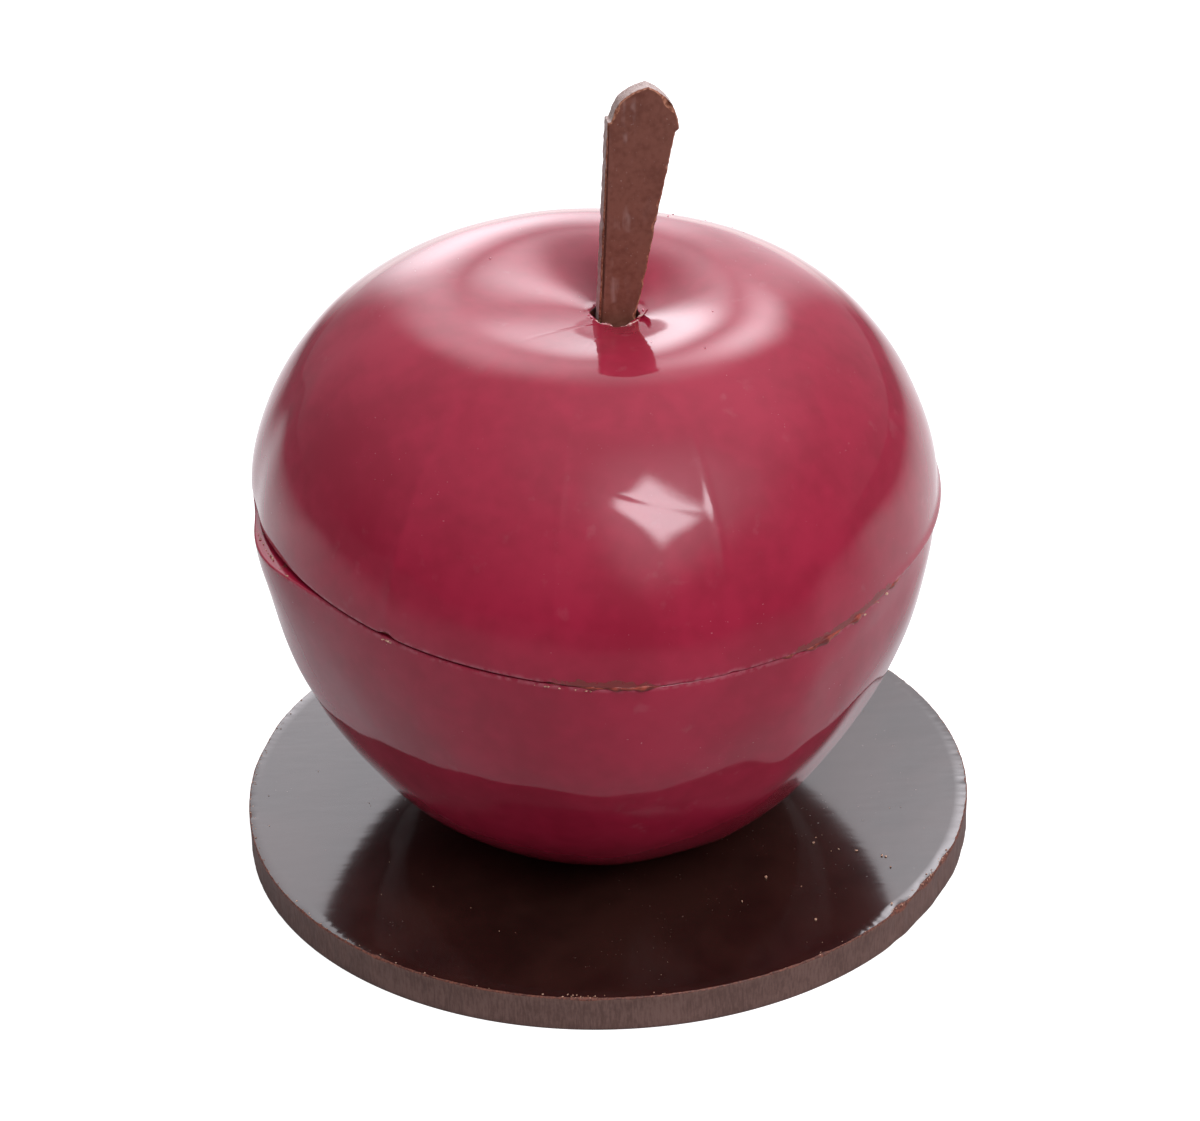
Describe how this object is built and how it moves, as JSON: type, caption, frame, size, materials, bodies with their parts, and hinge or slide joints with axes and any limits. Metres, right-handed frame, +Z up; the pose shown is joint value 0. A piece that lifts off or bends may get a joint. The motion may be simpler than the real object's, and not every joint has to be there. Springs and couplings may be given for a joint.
{
  "type": "moulded chocolate apple",
  "caption": "Glossy crimson moulded chocolate apple with a seam round its middle and a flat milk chocolate stem, standing on a round dark chocolate disc.",
  "frame": {"origin": "centre of the disc's underside, which is the bottom centre of the whole part", "axes": "+Z up along the height, -Y towards the front that shows the face of the stem, +X towards the side the stem leans to"},
  "size_m": [0.075, 0.075, 0.0811],
  "materials": {
    "crimson_chocolate": "crimson cocoa butter shell with a high gloss from the mould",
    "milk_chocolate": "satin milk chocolate with a thin pale bloom and cut edges",
    "dark_chocolate": "glossy tempered dark chocolate with a matt, striated cut edge"
  },
  "bodies": {
    "root": {"base_disc": "dark_chocolate", "lower_half": "crimson_chocolate", "upper_half": "crimson_chocolate", "stem": "milk_chocolate"}
  },
  "joints": []
}
